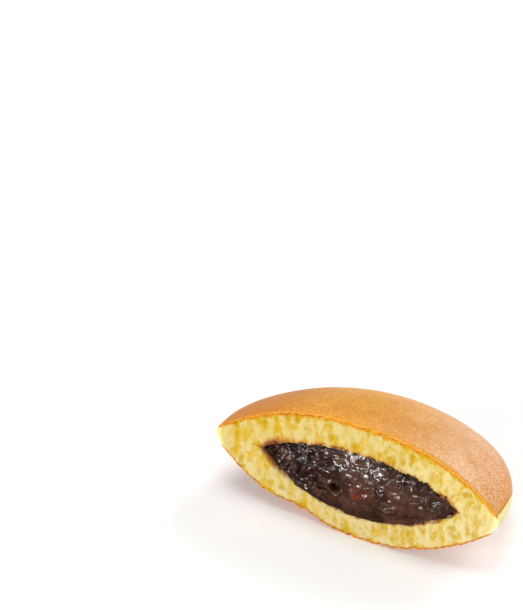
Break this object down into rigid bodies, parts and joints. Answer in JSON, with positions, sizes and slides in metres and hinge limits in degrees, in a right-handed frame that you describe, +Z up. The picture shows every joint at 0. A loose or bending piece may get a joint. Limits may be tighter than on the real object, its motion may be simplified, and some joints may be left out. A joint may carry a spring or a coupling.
{
  "type": "dorayaki half",
  "caption": "Half of a round dorayaki cut through the middle, showing dark sweet bean filling between browned griddle cakes with pale sponge inside.",
  "frame": {"origin": "on the table, under the middle of the half's bounding box", "axes": "+X along the cut, -Y the way the cut face looks, +Z up from the table the half rests on"},
  "size_m": [0.0924, 0.048, 0.0389],
  "materials": {
    "browned_cake": "fine-grained browned griddle face over yellow sponge",
    "pale_cake": "open yellow sponge with a pale rim and a browned underside",
    "bean_paste": "wet, glossy dark bean paste with whole and broken beans"
  },
  "bodies": {
    "root": {"top_cake": "browned_cake", "bottom_cake": "pale_cake", "bean_filling": "bean_paste"}
  },
  "joints": []
}
